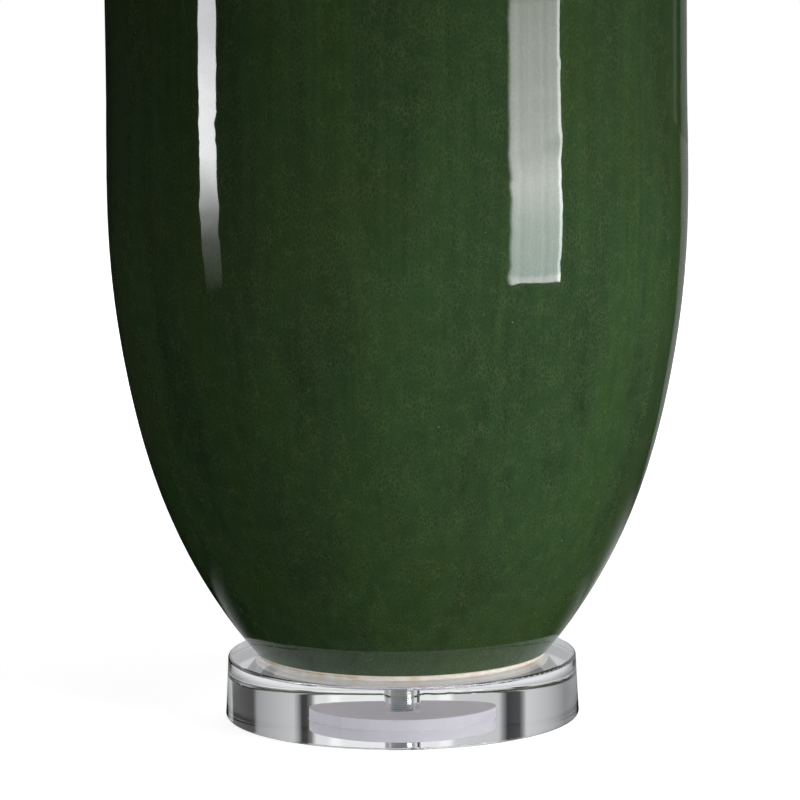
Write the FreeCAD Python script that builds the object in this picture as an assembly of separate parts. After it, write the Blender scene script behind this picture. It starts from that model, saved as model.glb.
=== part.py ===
import FreeCAD, Part
import math
import os

from FreeCAD import Vector

# Ginger jar table lamp. Millimetres, +Z up, origin at the centre of the foot's underside,
# front towards -Y. Every turned piece shares the lamp's upright axis.

# ---------------------------------------------------------------- driving dimensions

# Round cast acrylic foot
foot_radius = 76.2
foot_top_radius = 74.9
foot_height = 26.3
foot_edge = 1.2
foot_recess_radius = 26.8
foot_recess_depth = 4.8

# Threaded pipe that ties the lamp together, with its nuts and washer
pipe_radius = 4.9
pipe_bore_radius = 3.6
pipe_end_lift = 0.5
pipe_slip = 0.3
thread_bite = 0.3
pipe_window_width = 6.0
pipe_window_length = 16.0
pipe_window_lift = 22.0
nut_across_flats = 14.3
foot_nut_height = 3.0
washer_radius = 17.4
washer_thickness = 1.2
saddle_nut_height = 4.6
nut_corner_slope = 0.6

# Glazed ceramic jar; heights are from the jar's own foot
jar_foot_radius = 62.0
jar_foot_width = 7.5
jar_foot_recess = 2.4
glaze_radius = 63.2
glaze_start = 2.4
foot_flare_angle = 49.3
belly_radius = 123.0
belly_height = 230.0
lower_swell_ratios = ((0.075, 0.217), (0.275, 0.619), (0.54, 0.893), (0.80, 1.0))
shoulder_start = 284.0
shoulder_inset = 0.3
shoulder_soft_radius = 120.0
shoulder_soft_turn = 35.0
shoulder_radius = 52.0
shoulder_cove = 4.0
neck_radius = 47.0
neck_height = 16.0
neck_lip = 1.6
jar_wall = 6.0
jar_floor = 7.0
jar_floor_hole_radius = 6.5

# Rubber bushing of the cord inlet, low in the jar's rear wall
inlet_height = 33.0
inlet_spot_depth = 0.7
bushing_bore_radius = 3.3
bushing_barrel_radius = 5.9
bushing_fit = 0.1
bushing_seat_ease = 0.4
bushing_flange_radius = 8.0
bushing_flange_proud = 1.8
bushing_lip_radius = 6.8
bushing_lip_gap = 0.9
bushing_lip_thickness = 1.6

# Spun metal cap over the jar's mouth
cap_sheet = 1.2
cap_gap = 0.8
cap_skirt = 9.0
cap_roll = 2.5
cap_land = 9.0
cap_rise = 12.0
cap_bulge_height = 8.2
cap_crown_radius = 17.5

# Turned metal neck
stem_base_radius = 16.0
stem_radius = 8.6
stem_bead_radius = 12.6
stem_height = 44.0
stem_base_thickness = 3.0
stem_bead_height = 8.0
stem_bead_level = 22.9
stem_cove_height = 8.8
stem_flare_height = 5.3
cove_depth_ratio = 0.3

# Harp saddle, bent from strip
strip_thickness = 1.6
strip_width = 12.0
saddle_flat = 15.0
saddle_rise = 8.0
saddle_reach = 36.0
ear_width = 4.0
ear_height = 10.0
ear_thickness = 1.8

# Harp and its sleeves; heights are from the saddle's ledge
harp_wire_radius = 1.9
harp_leg_offset = 29.0
harp_leg_height = 46.0
harp_bow_offset = 55.0
harp_bow_height = 92.0
harp_taper_offset = 50.0
harp_taper_height = 190.0
harp_top_offset = 30.0
harp_height = 241.0
harp_bends = (30.0, 40.0, 60.0, 16.0)
harp_split = 0.1
sleeve_bore_radius = 3.3
sleeve_wall = 1.0
sleeve_height = 12.0
boss_radius = 6.5
boss_depth = 3.2
boss_flange_radius = 10.0
boss_flange_thickness = 1.8
stud_radius = 3.1
stud_height = 15.0

# Lampholder
holder_hub_radius = 8.0
holder_hub_height = 8.0
holder_cap_radius = 19.0
holder_cap_depth = 11.0
holder_cap_round = 3.5
holder_cap_wall = 1.0
shell_radius = 17.6
shell_wall = 0.6
shell_height = 50.0
shell_roll = 1.6
liner_wall = 0.8
liner_height = 43.0
block_radius = 14.8
block_height = 24.0
block_chamber_radius = 11.0
block_chamber_depth = 9.0
block_flat_offset = 12.6
screw_shell_radius = 13.7
screw_shell_wall = 0.4
screw_shell_height = 23.0
contact_radius = 3.2
contact_height = 2.6
terminal_radius = 2.6
terminal_head = 1.1
terminal_shank_radius = 1.4
terminal_shank_length = 5.0
set_screw_radius = 1.5
set_screw_length = 4.6

# Rotary switch shaft and knob, towards the front
key_radius = 1.6
key_running_fit = 0.06
key_height = 14.0
key_start = 6.0
knob_start = 21.5
knob_length = 15.0
knob_radius = 5.6
knob_neck_radius = 3.4
knob_neck_length = 4.0
knob_flutes = 12
knob_flute_radius = 0.7
knob_step = 1.0
knob_socket_depth = 10.5
knob_edge = 1.2
hole_ease = 0.5

# Bulb, medium screw base
bulb_radius = 34.0
bulb_length = 127.0
bulb_neck_radius = 14.2
bulb_glass_wall = 1.0
bulb_throat_length = 20.0
bulb_hip_angle = 35.0
bulb_cap_radius = 12.9
bulb_cap_length = 20.0
bulb_cap_wall = 0.5
bulb_insulator_length = 4.0
bulb_insulator_margin = 1.0
bulb_tip_radius = 4.0
bulb_tip_length = 1.2

# Hardback drum shade on a three-armed spider
shade_top_radius = 177.8
shade_bottom_radius = 203.2
shade_height = 280.0
shade_wall = 1.2
shade_drop = 19.0
ring_wire_radius = 1.9
ring_inset = 2.4
ring_bed = 0.15
hem_thickness = 0.6
hem_outer_height = 11.0
hem_inner_height = 7.0
hem_gap = 0.1
spider_arm_count = 3
spider_wire_radius = 1.6
spider_washer_radius = 14.0
spider_washer_thickness = 1.6
spider_arm_start = 11.5
spider_arm_rise = 24.0
spider_bend = 12.0

# Turned finial
finial_fit = 0.06
finial_base_radius = 8.5
finial_base_thickness = 2.4
finial_waist_radius = 5.2
finial_waist_height = 9.0
finial_ball_radius = 11.0
finial_tip_radius = 2.6
finial_tip_height = 4.0

# ---------------------------------------------------------------- heights up the axis

jar_base = foot_height
shoulder_rise = ((shoulder_soft_radius - shoulder_radius)
                 * math.sin(math.radians(shoulder_soft_turn)) + shoulder_radius)
jar_shoulder_top = jar_base + shoulder_start + shoulder_rise
jar_top = jar_shoulder_top + shoulder_cove + neck_height
cap_top = jar_top + cap_rise + cap_sheet
stem_top = cap_top + stem_height
saddle_ledge = stem_top + saddle_rise + strip_thickness
holder_base = stem_top + strip_thickness + saddle_nut_height
holder_floor = holder_base + holder_hub_height + holder_cap_wall
block_top = holder_floor + block_height
key_axis = holder_floor + key_height
pipe_top = holder_floor - holder_cap_wall
bulb_base = block_top + contact_height
harp_top = saddle_ledge + harp_height
spider_seat = harp_top + boss_depth + boss_flange_thickness
finial_seat = spider_seat + spider_washer_thickness
shade_top = spider_seat + spider_washer_thickness / 2 + shade_drop + ring_inset
shade_bottom = shade_top - shade_height

UP = Vector(0, 0, 1)
FRONT = Vector(0, -1, 0)
AXIS = Vector(0, 0, 0)

# ---------------------------------------------------------------- shared operations


def at(radius, height):
    """Point of a turned profile."""
    return Vector(radius, 0, height)


def profile_edges(path):
    """Edges through a path: a corner (r, z) is reached by a line, a pair of points by an arc."""
    edges = []
    here = path[0]
    for step in path[1:]:
        if isinstance(step[0], tuple):
            through, end = step
            edges.append(Part.Arc(at(*here), at(*through), at(*end)).toShape())
        else:
            end = step
            edges.append(Part.LineSegment(at(*here), at(*end)).toShape())
        here = end
    return edges


def revolved(edges):
    """Solid that closed profile edges sweep about the lamp's axis."""
    face = Part.Face(Part.Wire(Part.__sortEdges__(edges)))
    return Part.Solid(face.revolve(AXIS, UP, 360).Shells[0])


def turned(*path):
    """Turned solid of a profile that closes on its first corner."""
    return revolved(profile_edges(path + (path[0],)))


def rounded(solid, size, *circles):
    """The solid with its circular edges (radius, height) eased to a size."""
    edges = [edge for edge in solid.Edges
             if isinstance(edge.Curve, Part.Circle)
             and any(abs(edge.Curve.Radius - radius) < 1e-4
                     and abs(edge.Curve.Center.z - height) < 1e-4
                     for radius, height in circles)]
    return solid.makeFillet(size, edges)


def tube(outer, inner, bottom, height):
    """Plain round tube on the axis."""
    return turned((inner, bottom), (outer, bottom), (outer, bottom + height),
                  (inner, bottom + height))


def placed(solid, base, direction=UP):
    """The solid with its own origin and upright moved to a base and a direction."""
    moved = solid.copy()
    moved.Placement = FreeCAD.Placement(base, FreeCAD.Rotation(UP, direction))
    return moved


def hexagon(across_flats, bottom, height):
    """Hexagonal bar with the corners' faces square to X."""
    corner = across_flats / 2 / math.cos(math.radians(30))
    turns = [math.radians(60 * step) for step in range(7)]
    points = [Vector(corner * math.cos(turn), corner * math.sin(turn), bottom) for turn in turns]
    return Part.Face(Part.makePolygon(points)).extrude(UP * height)


def hex_nut(bottom, height):
    """Nut whose corners are turned off at both faces, threaded for the pipe."""
    flat = nut_across_flats / 2
    corner = flat / math.cos(math.radians(30))
    slope = (corner - flat) * nut_corner_slope
    envelope = turned((0, bottom), (flat, bottom), (corner, bottom + slope),
                      (corner, bottom + height - slope), (flat, bottom + height),
                      (0, bottom + height))
    nut = hexagon(nut_across_flats, bottom, height).common(envelope)
    return nut.cut(Part.makeCylinder(pipe_radius - thread_bite, height, at(0, bottom)))


def bent_wire(points, bends, radius):
    """Round wire along straight runs joined by tangent arcs, one bend radius a corner."""
    edges = []
    here = points[0]
    for before, corner, after, bend in zip(points, points[1:], points[2:], bends):
        towards = (corner - before).normalize()
        away = (after - corner).normalize()
        half_turn = towards.getAngle(away) / 2
        setback = bend * math.tan(half_turn)
        start = corner - towards * setback
        end = corner + away * setback
        inward = (away - towards).normalize()
        middle = corner + inward * (bend / math.cos(half_turn) - bend)
        edges.append(Part.LineSegment(here, start).toShape())
        edges.append(Part.Arc(start, middle, end).toShape())
        here = end
    edges.append(Part.LineSegment(here, points[-1]).toShape())
    heading = (points[1] - points[0]).normalize()
    section = Part.Wire(Part.Circle(points[0], heading, radius).toShape())
    return Part.Wire(edges).makePipeShell([section], True, False)


# ---------------------------------------------------------------- foot and tie pipe


def acrylic_foot():
    """Polished disc, drilled for the pipe, with a shallow recess beneath for washer and nut."""
    disc = turned((0, 0), (foot_radius, 0), (foot_top_radius, foot_height), (0, foot_height))
    disc = rounded(disc, foot_edge, (foot_radius, 0), (foot_top_radius, foot_height))
    drilled = disc.cut(Part.makeCylinder(pipe_radius + pipe_slip, foot_height))
    return drilled.cut(Part.makeCylinder(foot_recess_radius, foot_recess_depth))


def foot_washer():
    """Wide flat washer against the recess's ceiling."""
    return tube(washer_radius, pipe_radius + pipe_slip,
                foot_recess_depth - washer_thickness, washer_thickness)


def foot_nut():
    """Hexagonal nut that draws the whole lamp down on its foot."""
    return hex_nut(foot_recess_depth - washer_thickness - foot_nut_height, foot_nut_height)


def lamp_pipe():
    """Pipe from the foot's recess to the lampholder, with a window for the lead."""
    pipe = tube(pipe_radius, pipe_bore_radius, pipe_end_lift, pipe_top - pipe_end_lift)
    window_bottom = jar_base + pipe_window_lift
    half = pipe_window_width / 2
    straight = pipe_window_length - pipe_window_width
    slot = Part.makeBox(pipe_window_width, 2 * pipe_radius, straight,
                        Vector(-half, 0, window_bottom + half))
    for height in (window_bottom + half, window_bottom + half + straight):
        end = Part.makeCylinder(half, 2 * pipe_radius, Vector(0, 0, height), -FRONT)
        slot = slot.fuse(end)
    return pipe.cut(slot)


# ---------------------------------------------------------------- ceramic jar


def jar_stations():
    """Points of the jar's outline from the glaze line up to the start of the shoulder."""
    low = jar_base + glaze_start
    rise = jar_base + belly_height - low
    spread = belly_radius - glaze_radius
    stations = [at(glaze_radius, low)]
    stations += [at(glaze_radius + spread * out, low + rise * up) for up, out in lower_swell_ratios]
    stations.append(at(belly_radius, jar_base + belly_height))
    stations.append(at(belly_radius - shoulder_inset, jar_base + shoulder_start))
    return stations


def smooth_curve(points, first_heading=None):
    """Curve through points that ends upright, where the shoulder's arc takes over."""
    heading = first_heading or points[1] - points[0]
    curve = Part.BSplineCurve()
    curve.interpolate(Points=points, InitialTangent=heading.normalize(), FinalTangent=UP)
    return curve


def jar_side():
    """Outer curve of the body."""
    flare = math.radians(foot_flare_angle)
    return smooth_curve(jar_stations(), Vector(math.cos(flare), 0, math.sin(flare)))


def jar_side_inside():
    """The same curve moved in by the wall."""
    outer = jar_side()
    points = []
    for station in jar_stations():
        heading = outer.tangent(outer.parameter(station))[0]
        points.append(station - Vector(heading.z, 0, -heading.x) * jar_wall)
    return smooth_curve(points, outer.tangent(outer.FirstParameter)[0])


def shoulder(inset):
    """Two tangent arcs, a soft one and a tight one, from the upright side to the level top."""
    start = jar_base + shoulder_start
    soft = shoulder_soft_radius - inset
    tight = shoulder_radius - inset
    soft_centre = belly_radius - shoulder_inset - shoulder_soft_radius
    turn = math.radians(shoulder_soft_turn)
    gap = shoulder_soft_radius - shoulder_radius
    tight_centre = soft_centre + gap * math.cos(turn)
    tight_level = start + gap * math.sin(turn)
    half = (turn + math.radians(90)) / 2
    return (
        ((soft_centre + soft * math.cos(turn / 2), start + soft * math.sin(turn / 2)),
         (soft_centre + soft * math.cos(turn), start + soft * math.sin(turn))),
        ((tight_centre + tight * math.cos(half), tight_level + tight * math.sin(half)),
         (tight_centre, tight_level + tight)))


def jar():
    """Hollow jar: bare foot ring, swelling side, round shoulder and short neck."""
    side = jar_side()
    edge = belly_radius - shoulder_inset
    foot_ease = glaze_start / 3
    low = profile_edges((
        (0, jar_base + jar_foot_recess),
        (jar_foot_radius - jar_foot_width, jar_base + jar_foot_recess),
        (jar_foot_radius - jar_foot_width + foot_ease, jar_base),
        (jar_foot_radius - foot_ease, jar_base),
        (jar_foot_radius, jar_base + foot_ease),
        (jar_foot_radius, jar_base + glaze_start - foot_ease),
        (glaze_radius, jar_base + glaze_start)))
    cove = shoulder_cove * (1 - math.sqrt(0.5))
    high = profile_edges((
        (edge, jar_base + shoulder_start),
        *shoulder(0),
        (neck_radius + shoulder_cove, jar_shoulder_top),
        ((neck_radius + cove, jar_shoulder_top + cove),
         (neck_radius, jar_shoulder_top + shoulder_cove)),
        (neck_radius, jar_top),
        (0, jar_top),
        (0, jar_base + jar_foot_recess)))
    body = revolved(low + [side.toShape()] + high)
    mouth = neck_radius - jar_wall
    body = rounded(body, neck_lip, (neck_radius, jar_top))

    side_inside = jar_side_inside()
    corner = side_inside.StartPoint
    inner_top = jar_shoulder_top - jar_wall
    hollow = revolved(profile_edges((
        (0, corner.z), (corner.x, corner.z))) + [side_inside.toShape()] + profile_edges((
            (edge - jar_wall, jar_base + shoulder_start),
            *shoulder(jar_wall),
            (mouth, inner_top),
            (mouth, jar_top),
            (0, jar_top),
            (0, corner.z))))
    floor = jar_base + jar_foot_recess + jar_floor
    hollow = hollow.cut(Part.makeCylinder(belly_radius, floor))
    body = body.cut(hollow)
    body = rounded(body, neck_lip, (mouth, jar_top))
    body = body.cut(Part.makeCylinder(jar_floor_hole_radius, foot_height + jar_floor * 2,
                                      at(0, jar_base)))

    base, outward = inlet()
    seat = placed(Part.makeCylinder(bushing_flange_radius + bushing_seat_ease, jar_wall),
                  base - outward * inlet_spot_depth, outward)
    hole = placed(Part.makeCylinder(bushing_barrel_radius + bushing_fit, jar_wall * 4),
                  base - outward * jar_wall * 2, outward)
    return body.cut(seat).cut(hole)


def inlet():
    """Where the cord inlet's axis meets the jar's rear, and the wall's outward normal there."""
    side = jar_side()
    level = jar_base + inlet_height
    here = side.intersectCC(Part.LineSegment(at(0, level), at(2 * belly_radius, level)))[0]
    point = Vector(here.X, here.Y, here.Z)
    heading = side.tangent(side.parameter(point))[0]
    return Vector(0, point.x, level), Vector(0, heading.z, -heading.x)


def cord_bushing():
    """Bushing snapped into the inlet: flange outside, barrel through, lip inside."""
    seat = -inlet_spot_depth
    lip = -jar_wall - bushing_lip_gap
    end = lip - bushing_lip_thickness
    bushing = turned((bushing_bore_radius, end), (bushing_barrel_radius, end),
                     (bushing_lip_radius, lip), (bushing_barrel_radius, lip),
                     (bushing_barrel_radius, seat), (bushing_flange_radius, seat),
                     (bushing_flange_radius, bushing_flange_proud),
                     (bushing_bore_radius, bushing_flange_proud))
    bushing = rounded(bushing, bushing_flange_proud / 2,
                      (bushing_flange_radius, bushing_flange_proud))
    return placed(bushing, *inlet())


# ---------------------------------------------------------------- cap and neck


def vase_cap():
    """Spun cap: its land seats on the jar's lip and its skirt hides the joint."""
    skirt = neck_radius + cap_gap
    edge = skirt + cap_sheet
    land = neck_radius - cap_land
    inner_crown = jar_top + cap_rise
    roll = cap_roll * (1 - math.sqrt(0.5))
    bulge_radius = (land + cap_crown_radius) / 2 + 2 * cap_sheet
    bulge_height = jar_top + cap_bulge_height
    hole = pipe_radius + pipe_slip
    return turned(
        (hole, inner_crown),
        (cap_crown_radius, inner_crown),
        ((bulge_radius, bulge_height), (land, jar_top)),
        (skirt, jar_top),
        (skirt, jar_top - cap_skirt),
        (edge, jar_top - cap_skirt),
        (edge, jar_top + cap_sheet - cap_roll),
        ((edge - roll, jar_top + cap_sheet - roll), (edge - cap_roll, jar_top + cap_sheet)),
        (land, jar_top + cap_sheet),
        ((bulge_radius, bulge_height + cap_sheet), (cap_crown_radius, cap_top)),
        (hole, cap_top))


def neck_stem():
    """Turned neck: flange, cove, slim stem with a bead, and a collar under the saddle."""
    hole = pipe_radius + pipe_slip
    flange = cap_top + stem_base_thickness
    bead = cap_top + stem_bead_level
    half = stem_bead_height / 2
    collar = stem_top - stem_base_thickness
    cove = (stem_base_radius - stem_radius) * cove_depth_ratio
    flare = (stem_bead_radius - stem_radius) * cove_depth_ratio
    return turned(
        (hole, cap_top),
        (stem_base_radius, cap_top),
        (stem_base_radius, flange),
        ((stem_radius + cove, flange + cove), (stem_radius, flange + stem_cove_height)),
        (stem_radius, bead - half),
        ((stem_bead_radius, bead), (stem_radius, bead + half)),
        (stem_radius, collar - stem_flare_height),
        ((stem_radius + flare, collar - flare), (stem_bead_radius, collar)),
        (stem_bead_radius, stem_top),
        (hole, stem_top))


# ---------------------------------------------------------------- harp and saddle


def harp_saddle():
    """Strip bent up at both sides to a level ledge, with an ear raised at each leg."""
    lean = strip_thickness * math.tan(math.radians(22.5))
    outline = [
        (saddle_flat, 0), (saddle_flat + saddle_rise, saddle_rise),
        (saddle_reach, saddle_rise), (saddle_reach, saddle_rise + strip_thickness),
        (saddle_flat + saddle_rise - lean, saddle_rise + strip_thickness),
        (saddle_flat - lean, strip_thickness)]
    loop = outline + [(-x, z) for x, z in reversed(outline)]
    points = [Vector(x, -strip_width / 2, stem_top + z) for x, z in loop + loop[:1]]
    strip = Part.Face(Part.makePolygon(points)).extrude(Vector(0, strip_width, 0))
    end = saddle_reach - strip_width / 2
    plan = Part.makeBox(2 * end, strip_width, saddle_height(),
                        Vector(-end, -strip_width / 2, stem_top))
    for side in (-1, 1):
        plan = plan.fuse(Part.makeCylinder(strip_width / 2, saddle_height(),
                                           Vector(side * end, 0, stem_top)))
    saddle = strip.common(plan)
    for side in (-1, 1):
        inner = harp_leg_offset - harp_split - ear_thickness
        middle = side * (inner + ear_thickness / 2)
        straight = ear_height - ear_width / 2
        ear = Part.makeBox(ear_thickness, ear_width, straight,
                           Vector(middle - ear_thickness / 2, -ear_width / 2, saddle_ledge))
        crown = Part.makeCylinder(ear_width / 2, ear_thickness,
                                  Vector(middle - ear_thickness / 2, 0, saddle_ledge + straight),
                                  Vector(1, 0, 0))
        saddle = saddle.fuse(ear.fuse(crown))
    return saddle.cut(Part.makeCylinder(pipe_radius + pipe_slip, strip_thickness,
                                        at(0, stem_top))).removeSplitter()


def saddle_height():
    """Height of the strip's own bends."""
    return saddle_rise + strip_thickness


def saddle_nut():
    """Nut that clamps the saddle and the neck."""
    return hex_nut(stem_top + strip_thickness, saddle_nut_height)


def harp_wire():
    """Wire loop; each foot is halved to stand back to back with the saddle's ear."""
    half = [(harp_leg_offset, 0), (harp_leg_offset, harp_leg_height),
            (harp_bow_offset, harp_bow_height), (harp_taper_offset, harp_taper_height),
            (harp_top_offset, harp_height)]
    loop = half + [(-x, z) for x, z in reversed(half)]
    points = [Vector(x, 0, saddle_ledge + z) for x, z in loop]
    wire = bent_wire(points, harp_bends + tuple(reversed(harp_bends)), harp_wire_radius)
    face = harp_leg_offset + harp_split
    halving = Part.makeBox(2 * face, 2 * sleeve_bore_radius, ear_height + harp_split,
                           Vector(-face, -sleeve_bore_radius, saddle_ledge))
    return wire.cut(halving)


def harp_stud():
    """Boss crimped on the loop's top, with a flange for the spider and a threaded stud."""
    bottom = harp_top - boss_depth
    ledge = harp_top + boss_depth
    stud = turned((0, bottom), (boss_radius, bottom), (boss_radius, ledge),
                  (boss_flange_radius, ledge), (boss_flange_radius, spider_seat),
                  (stud_radius, spider_seat), (stud_radius, spider_seat + stud_height),
                  (0, spider_seat + stud_height))
    return stud.cut(Part.makeCylinder(harp_wire_radius, 4 * boss_radius,
                                      Vector(-2 * boss_radius, 0, harp_top), Vector(1, 0, 0)))


def harp_sleeve(side):
    """Sleeve that drops over a saddle ear and a foot of the loop, and locks them."""
    sleeve = tube(sleeve_bore_radius + sleeve_wall, sleeve_bore_radius, saddle_ledge,
                  sleeve_height)
    sleeve = rounded(sleeve, sleeve_wall / 2,
                     (sleeve_bore_radius + sleeve_wall, saddle_ledge + sleeve_height))
    return placed(sleeve, Vector(side * harp_leg_offset, 0, 0))


# ---------------------------------------------------------------- lampholder


def key_hole(radius, start, length):
    """Round tool along the switch shaft's axis, towards the front."""
    return Part.makeCylinder(radius, length, Vector(0, -start, key_axis), FRONT)


def socket_cap():
    """Bottom cup of the lampholder, on a hub that screws on the pipe."""
    hub_bore = pipe_radius - thread_bite
    rim = holder_floor + holder_cap_depth
    bend = holder_cap_round * (1 - math.sqrt(0.5))
    inner = holder_cap_radius - holder_cap_wall
    inner_round = holder_cap_round - holder_cap_wall
    inner_bend = inner_round * (1 - math.sqrt(0.5))
    underside = holder_floor - holder_cap_wall
    cup = turned(
        (hub_bore, holder_base),
        (holder_hub_radius, holder_base),
        (holder_hub_radius, underside),
        (holder_cap_radius - holder_cap_round, underside),
        ((holder_cap_radius - bend, underside + bend),
         (holder_cap_radius, underside + holder_cap_round)),
        (holder_cap_radius, rim),
        (inner, rim),
        (inner, holder_floor + inner_round),
        ((inner - inner_bend, holder_floor + inner_bend), (inner - inner_round, holder_floor)),
        (hub_bore, holder_floor))
    screw = Part.makeCylinder(set_screw_radius, 2 * holder_hub_radius,
                              Vector(0, 0, holder_base + holder_hub_height / 2), -FRONT)
    return cup.cut(screw)


def socket_set_screw():
    """Headless screw through the hub that stops the lampholder turning on the pipe."""
    return Part.makeCylinder(set_screw_radius, set_screw_length,
                             Vector(0, pipe_radius, holder_base + holder_hub_height / 2), -FRONT)


def shell_foot():
    """Height at which the shell and liner stand in the cup, above its rounded corner."""
    return holder_floor + holder_cap_round - holder_cap_wall


def socket_shell():
    """Metal shell with a rolled mouth and a clearance hole for the switch shaft."""
    top = holder_floor + shell_height
    roll = shell_roll
    turn = roll * (1 - math.sqrt(0.5))
    inner = shell_radius - shell_wall
    inner_roll = roll - shell_wall
    inner_turn = inner_roll * (1 - math.sqrt(0.5))
    shell = turned(
        (inner, shell_foot()), (shell_radius, shell_foot()),
        (shell_radius, top - roll),
        ((shell_radius - turn, top - turn), (shell_radius - roll, top)),
        (shell_radius - roll, top - shell_wall),
        ((inner - inner_turn, top - shell_wall - inner_turn), (inner, top - roll)))
    seat = tube(holder_cap_radius - holder_cap_wall, inner, shell_foot(), shell_wall)
    opening = key_hole(key_radius + hole_ease, shell_radius / 2, holder_cap_radius)
    return shell.fuse(seat).cut(opening).removeSplitter()


def socket_liner():
    """Insulating sleeve inside the shell."""
    outer = shell_radius - shell_wall
    liner = tube(outer, outer - liner_wall, shell_foot(), liner_height)
    return liner.cut(key_hole(key_radius + hole_ease, shell_radius / 2, holder_cap_radius))


def socket_block():
    """Moulded block: wiring chamber below, terminal flats, and a bore for the switch."""
    block = turned((block_chamber_radius, holder_floor), (block_radius, holder_floor),
                   (block_radius, block_top), (0, block_top),
                   (0, holder_floor + block_chamber_depth),
                   (block_chamber_radius, holder_floor + block_chamber_depth))
    for side in (-1, 1):
        flat = Part.makeBox(block_radius, 2 * block_radius, block_height / 2,
                            Vector(block_flat_offset if side > 0
                                   else -block_flat_offset - block_radius,
                                   -block_radius, block_top - block_height / 2))
        block = block.cut(flat)
        block = block.cut(terminal_shank(side))
    return block.cut(key_hole(key_radius + key_running_fit, key_start, block_radius))


def terminal_height():
    """Height of the two wiring terminals."""
    return block_top - block_height / 4


def terminal_shank(side):
    """Shank of one terminal screw."""
    start = block_flat_offset - terminal_shank_length
    return Part.makeCylinder(terminal_shank_radius, terminal_shank_length,
                             Vector(side * start, 0, terminal_height()), Vector(side, 0, 0))


def terminal_screws():
    """Two binding screws on the block's flats."""
    screws = []
    for side in (-1, 1):
        head = Part.makeCylinder(terminal_radius, terminal_head,
                                 Vector(side * block_flat_offset, 0, terminal_height()),
                                 Vector(side, 0, 0))
        screws.append(head.fuse(terminal_shank(side)).removeSplitter())
    return Part.makeCompound(screws)


def screw_shell():
    """Threaded metal shell that takes the bulb's cap."""
    inner = screw_shell_radius - screw_shell_wall
    return turned((contact_radius + 2 * screw_shell_wall, block_top),
                  (screw_shell_radius, block_top),
                  (screw_shell_radius, block_top + screw_shell_height),
                  (inner, block_top + screw_shell_height),
                  (inner, block_top + screw_shell_wall),
                  (contact_radius + 2 * screw_shell_wall, block_top + screw_shell_wall))


def centre_contact():
    """Domed brass contact under the bulb's tip."""
    contact = Part.makeCylinder(contact_radius, contact_height, at(0, block_top))
    return rounded(contact, contact_height / 3, (contact_radius, bulb_base))


def switch_shaft():
    """Shaft of the rotary switch."""
    return key_hole(key_radius, key_start, knob_start + knob_socket_depth - key_start)


def switch_knob():
    """Fluted knob with a slim neck, pressed on the shaft."""
    knob = turned((0, 0), (knob_neck_radius, 0), (knob_neck_radius, knob_neck_length),
                  (knob_radius, knob_neck_length + knob_step), (knob_radius, knob_length),
                  (0, knob_length))
    knob = rounded(knob, knob_edge, (knob_radius, knob_length))
    for step in range(knob_flutes):
        turn = 2 * math.pi * step / knob_flutes
        flute = Part.makeCylinder(knob_flute_radius, knob_length,
                                  Vector(knob_radius * math.cos(turn),
                                         knob_radius * math.sin(turn),
                                         knob_neck_length + knob_step))
        knob = knob.cut(flute)
    knob = placed(knob, Vector(0, -knob_start, key_axis), FRONT)
    return knob.cut(switch_shaft())


# ---------------------------------------------------------------- bulb


def bulb_glass():
    """Blown envelope: round crown, tapering neck, open end seated in the cap."""
    base = bulb_base + bulb_tip_length + bulb_insulator_length + bulb_cap_length
    top = bulb_base + bulb_length
    centre = top - bulb_radius
    seat = base - bulb_glass_wall

    def envelope(inset):
        belly = bulb_radius - inset
        neck = bulb_neck_radius - inset
        crown = belly * math.sqrt(0.5)
        throat = base + bulb_throat_length
        hip = belly * math.cos(math.radians(bulb_hip_angle))
        hip_drop = belly * math.sin(math.radians(bulb_hip_angle))
        return [(neck, base), (neck, throat),
                (hip, centre - hip_drop),
                ((belly, centre), (crown, centre + crown)),
                ((belly * math.sin(math.pi / 8), centre + belly * math.cos(math.pi / 8)),
                 (0, centre + belly))]

    spigot = bulb_cap_radius - bulb_cap_wall
    outer = turned((0, seat), (spigot, seat), (spigot, base), *envelope(0))
    inner = turned((0, seat), (spigot - bulb_glass_wall, seat),
                   (spigot - bulb_glass_wall, base + bulb_glass_wall),
                   (bulb_neck_radius - bulb_glass_wall, base + bulb_glass_wall),
                   *envelope(bulb_glass_wall)[1:])
    return outer.cut(inner)


def bulb_cap():
    """Screw cap, open at both ends."""
    bottom = bulb_base + bulb_tip_length + bulb_insulator_length
    return tube(bulb_cap_radius, bulb_cap_radius - bulb_cap_wall, bottom, bulb_cap_length)


def bulb_insulator():
    """Dark glass cone that closes the cap round the tip."""
    bottom = bulb_base + bulb_tip_length
    inner = bulb_cap_radius - bulb_cap_wall
    return turned((0, bottom), (bulb_tip_radius + bulb_insulator_margin, bottom),
                  (bulb_cap_radius, bottom + bulb_insulator_length),
                  (inner, bottom + bulb_insulator_length),
                  (inner, bottom + bulb_insulator_length + 2 * bulb_cap_wall),
                  (0, bottom + bulb_insulator_length + 2 * bulb_cap_wall))


def bulb_tip():
    """Solder button that rests on the centre contact."""
    return Part.makeCylinder(bulb_tip_radius, bulb_tip_length, at(0, bulb_base))


# ---------------------------------------------------------------- shade


def shade_radius(height):
    """Outer radius of the shade's panel at a height."""
    share = (shade_top - height) / shade_height
    return shade_top_radius + (shade_bottom_radius - shade_top_radius) * share


def shade_panel():
    """Stiff linen-faced panel, rolled to a slightly tapered drum."""
    return turned(
        (shade_bottom_radius - shade_wall, shade_bottom), (shade_bottom_radius, shade_bottom),
        (shade_top_radius, shade_top), (shade_top_radius - shade_wall, shade_top))


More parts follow.
